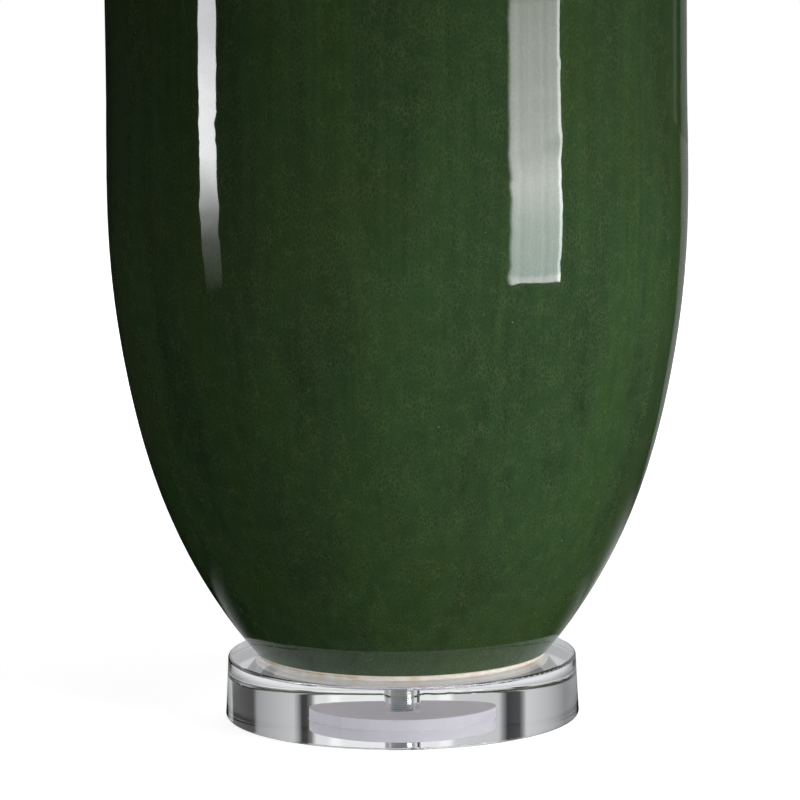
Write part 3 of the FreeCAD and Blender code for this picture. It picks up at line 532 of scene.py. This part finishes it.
long_cells = add(tree, "VectorMath", {0: bent, 1: (1.0, 1.0, 0.5)}, operation="MULTIPLY")
cracks = add(tree, "TexVoronoi", {"Vector": long_cells, "Scale": 1 / crack_cell},
             feature="DISTANCE_TO_EDGE")
patchy = add(tree, "MapRange", {0: wander, 1: 0.35, 2: 0.65, 3: 0.18, 4: 0.75})
line = add(tree, "MapRange", {0: cracks, 1: 0.0, 2: crack_width / crack_cell, 3: 1.0, 4: 0.0})
shown_line = add(tree, "Math", {0: line, 1: patchy}, operation="MULTIPLY")
crazed = add(tree, "Mix", {0: shown_line, 6: olive.outputs[2], 7: colour("#5c6c44")},
             data_type="RGBA")
specks = add(tree, "TexVoronoi", {"Vector": spot, "Scale": 1 / pinhole_spacing})
pinhole = add(tree, "Math", {0: specks, 1: pinhole_radius / pinhole_spacing},
              operation="LESS_THAN")
pitted = add(tree, "Mix", {0: pinhole, 6: crazed.outputs[2], 7: colour("#8b9a78")},
             data_type="RGBA")
height = add(tree, "SeparateXYZ", {0: spot}).outputs["Z"]
# Painted shade: the glaze colour is made darker towards the shoulder.
painted_shade_up = add(tree, "MapRange", {0: height, 1: darkens_from, 2: darkens_to, 3: 1.0, 4: 0.74})
shade_darkened_glaze = add(tree, "VectorMath", {0: pitted.outputs[2], "Scale": painted_shade_up}, operation="SCALE")
# Bisque: the bare foot ring is chalky and warm white, stained where it was wiped.
glazed = add(tree, "Math", {0: height, 1: glaze_line}, operation="GREATER_THAN")
stains = add(tree, "TexNoise", {"Vector": spot, "Scale": 1 / clay_grain, "Detail": 4.0})
bisque = add(tree, "ValToRGB", {0: stains}, stops=((0.35, "#eedcc2"), (0.6, "#fbf4ea")))
throwing = add(tree, "TexNoise", {"Vector": spot, "Scale": 1 / throwing_width, "Detail": 1.5})
vary(finish, base_color=add(tree, "Mix", {0: glazed, 6: bisque, 7: shade_darkened_glaze},
                            data_type="RGBA").outputs[2],
     roughness=add(tree, "MapRange", {0: glazed, 3: 0.8, 4: 0.03}),
     normal=add(tree, "Bump", {"Height": throwing, "Distance": throwing_depth,
                               "Strength": 0.35}))
coat(crackle_glaze, "jar")

# ------------------------------------------------------------------------------------------
# Cord bushing: black rubber, moulded in one piece. It is pushed into the slanted inlet low in the
# jar's back, and keeps the cord off the clay's edge.

bloom_patch = 2.5 * mm

# Black rubber: dull, faintly grey, with a fine mould grain and a little bloom.
black_rubber, tree, finish = shader("black_rubber", roughness=0.6)
bloom = add(tree, "TexNoise", {"Vector": add(tree, "TexCoord").outputs["Object"],
                               "Scale": 1 / bloom_patch, "Detail": 3.0})
vary(finish, base_color=add(tree, "ValToRGB", {0: bloom}, stops=(
    (0.35, "#191919"), (0.7, "#2a2a29"))),
    normal=add(tree, "Bump", {"Height": bloom, "Distance": 0.1 * mm, "Strength": 0.3}))
coat(black_rubber, "cord_bushing")

# ------------------------------------------------------------------------------------------
# Cap and neck: spun and turned steel, polished with a belt while they turn and nickel-plated.
# The cap sits on the jar's lip, and the neck stands on the cap.

# Turning lines stand 0.9 mm apart, because the real belt's 0.1 mm is too fine to show.
turning_line = 0.9 * mm

# Brushed nickel: a warm grey satin metal. Its fine lines run round the piece and stretch each
# highlight across them.
turned_nickel, tree, finish = shader("brushed_nickel_turned", metallic=1.0, anisotropic=0.5)
axes = add(tree, "SeparateXYZ", {0: add(tree, "TexCoord").outputs["Object"]})
rings = add(tree, "CombineXYZ", {0: radius_of(tree, axes), 2: axes.outputs["Z"]})
lines = add(tree, "TexNoise", {"Vector": rings, "Scale": 1 / turning_line, "Detail": 3.0})
vary(finish, base_color=add(tree, "ValToRGB", {0: lines}, stops=(
    (0.3, "#a59e93"), (0.7, "#c9c2b7"))),
    roughness=add(tree, "MapRange", {0: lines, 1: 0.3, 2: 0.7, 3: 0.22, 4: 0.38}),
    normal=add(tree, "Bump", {"Height": lines, "Distance": 0.05 * mm, "Strength": 0.3}),
    tangent=add(tree, "Tangent", direction_type="RADIAL", axis="Z"))
coat(turned_nickel, "vase_cap", "neck_stem")

# ------------------------------------------------------------------------------------------
# Harp, saddle and sleeves: bent strip and drawn wire, plated all over, under a zinc-plated nut.
# The loop's feet stand by the saddle's ears, and a sleeve drops over each pair and locks it.

drawing_mark = 3 * mm

# Nickel plate over drawn wire: smoother than the turned pieces, with soft uneven gloss.
plated_wire, tree, finish = shader("nickel_plated_wire", metallic=1.0)
drawn = add(tree, "TexNoise", {"Vector": add(tree, "TexCoord").outputs["Object"],
                               "Scale": 1 / drawing_mark, "Detail": 3.0})
vary(finish, base_color=add(tree, "ValToRGB", {0: drawn}, stops=(
    (0.3, "#aaa399"), (0.7, "#c6bfb4"))),
    roughness=add(tree, "MapRange", {0: drawn, 1: 0.3, 2: 0.7, 3: 0.18, 4: 0.32}))
coat(plated_wire, "harp_saddle", "harp_wire", "harp_stud", "harp_sleeve_left",
     "harp_sleeve_right")
coat(zinc_plate, "saddle_nut")

# ------------------------------------------------------------------------------------------
# Lampholder: a nickel cup and shell, and inside them a fibre liner, a phenolic block with brass
# terminals and contact, and a rolled screw shell. The switch's brass shaft carries the knob.

coat(turned_nickel, "socket_cap", "socket_shell")
coat(zinc_plate, "socket_set_screw")

fibre_strand = 1.2 * mm
filler_grain = 0.8 * mm
tarnish_patch = 2 * mm
rolling_streak = 0.7 * mm

# Vulcanised fibre: a leathery brown board with long fibres in it.
fibre, tree, finish = shader("vulcanised_fibre", roughness=0.7)
strands = add(tree, "TexNoise", {
    "Vector": add(tree, "VectorMath", {0: add(tree, "TexCoord").outputs["Object"],
                                       1: (1.0, 1.0, 0.15)}, operation="MULTIPLY"),
    "Scale": 1 / fibre_strand, "Detail": 4.0})
vary(finish, base_color=add(tree, "ValToRGB", {0: strands}, stops=(
    (0.3, "#80603c"), (0.7, "#a98759"))))
coat(fibre, "socket_liner")

# Black phenolic: hard and slightly mottled by its wood-flour filler, with a satin moulded skin.
phenolic, tree, finish = shader("black_phenolic")
filler = add(tree, "TexNoise", {"Vector": add(tree, "TexCoord").outputs["Object"],
                                "Scale": 1 / filler_grain, "Detail": 3.0})
vary(finish, base_color=add(tree, "ValToRGB", {0: filler}, stops=(
    (0.4, "#141312"), (0.75, "#2b2724"))),
    roughness=add(tree, "MapRange", {0: filler, 1: 0.3, 2: 0.7, 3: 0.32, 4: 0.48}))
coat(phenolic, "socket_block", "switch_knob")

# Brass: turned, yellow, a little tarnished and duller in patches.
brass, tree, finish = shader("brass", metallic=1.0)
tarnish = add(tree, "TexNoise", {"Vector": add(tree, "TexCoord").outputs["Object"],
                                 "Scale": 1 / tarnish_patch, "Detail": 3.0})
vary(finish, base_color=add(tree, "ValToRGB", {0: tarnish}, stops=(
    (0.3, "#a8803c"), (0.65, "#d0a95e"))),
    roughness=add(tree, "MapRange", {0: tarnish, 1: 0.3, 2: 0.7, 3: 0.36, 4: 0.2}))
coat(brass, "terminal_screws", "centre_contact", "switch_shaft")

# Rolled aluminium: thin, pale and bright, with faint rolling streaks.
aluminium, tree, finish = shader("rolled_aluminium", metallic=1.0)
rolling = add(tree, "TexNoise", {
    "Vector": add(tree, "VectorMath", {0: add(tree, "TexCoord").outputs["Object"],
                                       1: (0.2, 0.2, 1.0)}, operation="MULTIPLY"),
    "Scale": 1 / rolling_streak, "Detail": 2.0})
vary(finish, base_color=add(tree, "ValToRGB", {0: rolling}, stops=(
    (0.3, "#bdbec0"), (0.7, "#dcdcdd"))),
    roughness=add(tree, "MapRange", {0: rolling, 1: 0.3, 2: 0.7, 3: 0.24, 4: 0.36}))

cap_thread_pitch = 3.63 * mm
cap_thread_depth = 0.32 * mm
cap_sides = 72
rows_per_pitch = 10


def threaded_shell(name, node, wall, thread_bottom, thread_top, floor_hole, body):
    """Thin round shell with a rolled thread; with a hole's radius it also has a floor."""
    low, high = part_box(node)
    rows = int((high.z - low.z) / cap_thread_pitch * rows_per_pitch)
    levels = [low.z + (high.z - low.z) * row / rows for row in range(rows + 1)]

    def wave(level, turn):
        """How far the thread sinks the wall in; it dies out over half a pitch at its ends."""
        inside = min(level - thread_bottom, thread_top - level) / (cap_thread_pitch / 2)
        share = max(0.0, min(1.0, inside))
        phase = 2 * math.pi * level / cap_thread_pitch - turn
        return -cap_thread_depth * share * (1 - math.cos(phase)) / 2

    outline = [(high.x, level, 1.0) for level in levels]
    outline += [(high.x - wall, level, 1.0) for level in reversed(levels)]
    if floor_hole:
        outline[-1] = (high.x - wall, low.z + wall, 0.0)
        outline += [(floor_hole, low.z + wall, 0.0), (floor_hole, low.z, 0.0)]
    verts = []
    for side in range(cap_sides):
        turn = 2 * math.pi * side / cap_sides
        for radius, level, threaded in outline:
            verts.append(at(radius + wave(level, turn) * threaded, turn, level))
    made = piece(name, verts, turned_faces(cap_sides, len(outline)), aluminium, body)
    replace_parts(made, node)


shell_low, shell_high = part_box("screw_shell")
threaded_shell("holder_screw_shell", "screw_shell", wall=0.4 * mm,
               thread_bottom=shell_low.z + 3 * mm, thread_top=shell_high.z - 1 * mm,
               floor_hole=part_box("centre_contact")[1].x + 0.8 * mm, body="root")

# ------------------------------------------------------------------------------------------
# Bulb: a blown envelope with a soft white coating inside, cemented in a rolled screw cap. A black
# glass insulator closes the cap round the solder tip.

cap_low, cap_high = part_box("bulb_cap")
threaded_shell("bulb_screw_cap", "bulb_cap", wall=0.5 * mm, thread_bottom=cap_low.z + 1.5 * mm,
               thread_top=cap_high.z - 4 * mm, floor_hole=None, body="bulb")

coating_cloud = 18 * mm
glass_ripple = 3 * mm
solder_lump = 1.5 * mm

# Opal glass: white and even, with a hard gloss over a milky coat that is a little cloudy.
opal, tree, finish = shader("opal_glass", roughness=0.3, ior=1.5, coat_weight=1.0,
                            coat_roughness=0.04, subsurface_weight=0.2)
cloud = add(tree, "TexNoise", {"Vector": add(tree, "TexCoord").outputs["Object"],
                               "Scale": 1 / coating_cloud, "Detail": 2.0})
vary(finish, base_color=add(tree, "ValToRGB", {0: cloud}, stops=(
    (0.3, "#eceae4"), (0.7, "#f6f5f1"))))
coat(opal, "bulb_glass")

# Black glass: pressed hot, glossy, with a shallow ripple.
black_glass, tree, finish = shader("black_glass", base_color=colour("#0e0e12"), roughness=0.08)
ripple = add(tree, "TexNoise", {"Vector": add(tree, "TexCoord").outputs["Object"],
                                "Scale": 1 / glass_ripple})
vary(finish, normal=add(tree, "Bump", {"Height": ripple, "Distance": 0.2 * mm, "Strength": 0.4}))
coat(black_glass, "bulb_insulator")

# Solder: dull grey, lumpy where it froze.
solder, tree, finish = shader("dull_solder", metallic=1.0, roughness=0.45)
lumps = add(tree, "TexNoise", {"Vector": add(tree, "TexCoord").outputs["Object"],
                               "Scale": 1 / solder_lump, "Detail": 2.0})
vary(finish, base_color=add(tree, "ValToRGB", {0: lumps}, stops=(
    (0.3, "#77787a"), (0.7, "#9a9b9d"))),
    normal=add(tree, "Bump", {"Height": lumps, "Distance": 0.2 * mm, "Strength": 0.5}))
coat(solder, "bulb_tip")

# ------------------------------------------------------------------------------------------
# Shade: off-white linen laminated on white styrene, rolled to a drum and lapped at the back.
# Linen tape hems it round two enamelled wire rings, and the top ring's arms hang it on the harp.

panel_low, panel_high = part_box("shade_panel")
bottom_radius = panel_high.x
top_radius = max(corner.co.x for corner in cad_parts["shade_panel"].data.vertices
                 if corner.co.z > panel_high.z - mm)

# The weave is drawn at 1.3 mm, because the real linen's 0.5 mm threads are too fine to show.
thread_spacing = 1.3 * mm
slub_length = 30 * mm
thread_relief = 0.5 * mm
orange_peel = 1.5 * mm


def plain_weave(tree, dark, middle, light):
    """Axes, thread height and colour of the cloth. It is laid on the drum by the distance round
    and the height; its threads are uneven both ways, and thick where a slub lies."""
    axes = add(tree, "SeparateXYZ", {0: add(tree, "TexCoord").outputs["Object"]})
    across = add(tree, "Math", {0: azimuth_of(tree, axes), 1: bottom_radius},
                 operation="MULTIPLY")
    cloth = add(tree, "CombineXYZ", {0: across, 1: axes.outputs["Z"]})
    along = thread_spacing / slub_length
    threads = []
    for stretch in ((1.0, along, 1.0), (along, 1.0, 1.0)):
        drawn_out = add(tree, "VectorMath", {0: cloth, 1: stretch}, operation="MULTIPLY")
        threads.append(add(tree, "TexNoise", {"Vector": drawn_out, "Scale": 1 / thread_spacing,
                                              "Detail": 2.0, "Roughness": 0.6}))
    slubs = add(tree, "Math", {0: threads[0], 1: threads[1]}, operation="ADD")
    tone = add(tree, "ValToRGB", {0: add(tree, "MapRange", {0: slubs, 1: 0.6, 2: 1.4})},
               stops=((0.2, dark), (0.5, middle), (0.8, light)))
    return axes, slubs, tone


# Linen: a dry off-white cloth with slubs both ways. It is lined with smooth white styrene.
linen, tree, finish = shader("linen_on_styrene", sheen_weight=0.2, sheen_roughness=0.5)
axes, slubs, woven = plain_weave(tree, "#cfc8b8", "#e2dccd", "#eee9dd")
facing = add(tree, "VectorMath", {0: add(tree, "TexCoord").outputs["Normal"], 1: add(
    tree, "CombineXYZ", {0: axes.outputs["X"], 1: axes.outputs["Y"]})}, operation="DOT_PRODUCT")
outside = add(tree, "Math", {0: facing.outputs["Value"], 1: 0.0}, operation="GREATER_THAN")
vary(finish, base_color=add(tree, "Mix", {0: outside, 6: colour("#f0efeb"), 7: woven},
                            data_type="RGBA").outputs[2],
     roughness=add(tree, "MapRange", {0: outside, 3: 0.35, 4: 0.9}),
     normal=add(tree, "Bump", {"Height": slubs, "Distance": thread_relief, "Strength": add(
         tree, "Math", {0: outside, 1: 0.5}, operation="MULTIPLY")}))
coat(linen, "shade_panel")

# Linen tape: the same cloth without a lining, folded and glued round the edges.
tape, tree, finish = shader("linen_tape", roughness=0.9, sheen_weight=0.2, sheen_roughness=0.5)
axes, slubs, woven = plain_weave(tree, "#c6bfae", "#dad4c4", "#e8e2d4")
vary(finish, base_color=woven,
     normal=add(tree, "Bump", {"Height": slubs, "Distance": thread_relief, "Strength": 0.6}))
coat(tape, "shade_top_hem", "shade_bottom_hem")

seam_width = 9 * mm
seam_thickness = 0.35 * mm
seam_sunk = 0.1 * mm
seam_steps = 6
hem_reach = 11 * mm


def lapped_seam():
    """The panel's outer end lapped over the inner one, upright down the back."""
    verts = []
    for level in (panel_low.z + hem_reach, panel_high.z - hem_reach):
        share = (level - panel_low.z) / (panel_high.z - panel_low.z)
        radius = bottom_radius + (top_radius - bottom_radius) * share
        for lift in (-seam_sunk, seam_thickness):
            for step in range(seam_steps + 1):
                turn = math.pi / 2 + (step / seam_steps - 0.5) * seam_width / radius
                verts.append(at(radius + lift, turn, level))
    row = seam_steps + 1
    faces = []
    for step in range(seam_steps):
        faces.append((step, step + 1, 2 * row + step + 1, 2 * row + step))
        faces.append((row + step + 1, row + step, 3 * row + step, 3 * row + step + 1))
        faces.append((step + 1, step, row + step, row + step + 1))
        faces.append((2 * row + step, 2 * row + step + 1, 3 * row + step + 1, 3 * row + step))
    faces.append((0, 2 * row, 3 * row, row))
    faces.append((seam_steps, row + seam_steps, 3 * row + seam_steps, 2 * row + seam_steps))
    return piece("shade_seam", verts, faces, tape, "shade", smooth=False)


lapped_seam()

# White baked enamel: hard and bright, with a faint orange peel.
enamel, tree, finish = shader("white_baked_enamel", roughness=0.3)
peel = add(tree, "TexNoise", {"Vector": add(tree, "TexCoord").outputs["Object"],
                              "Scale": 1 / orange_peel, "Detail": 1.0})
vary(finish, base_color=add(tree, "ValToRGB", {0: peel}, stops=(
    (0.3, "#e0e0db"), (0.7, "#eeeeeb"))),
    normal=add(tree, "Bump", {"Height": peel, "Distance": 0.1 * mm, "Strength": 0.2}))
coat(enamel, "shade_spider", "shade_top_ring", "shade_bottom_ring")

# ------------------------------------------------------------------------------------------
# Finial: a small knob, turned and polished as the neck is and nickel-plated too. It screws on the
# harp's stud and holds the spider's washer down.

coat(turned_nickel, "finial")
